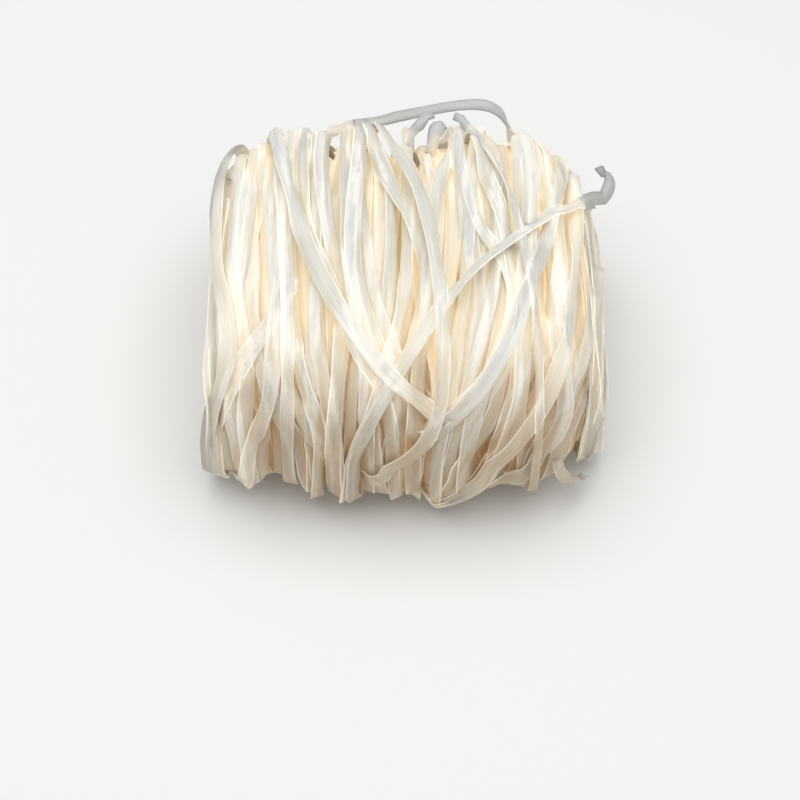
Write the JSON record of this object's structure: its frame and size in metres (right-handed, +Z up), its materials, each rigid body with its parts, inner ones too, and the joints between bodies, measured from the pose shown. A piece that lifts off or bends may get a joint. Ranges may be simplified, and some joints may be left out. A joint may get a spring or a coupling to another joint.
{
  "type": "bundle of dry rice noodles",
  "caption": "Loosely wound hank of dried flat rice noodles, ivory and half clear, that rests on its flattened side.",
  "frame": {"origin": "on the table, at the middle of the flat spot that the hank rests on", "axes": "+X along the roll that the noodles are wound round, +Y from the front of the hank to its back, +Z up"},
  "size_m": [0.1662, 0.1635, 0.0902],
  "materials": {
    "rice_noodle": "satin, slightly see-through dried starch"
  },
  "bodies": {
    "root": {"noodle_bundle": "rice_noodle"}
  },
  "joints": []
}
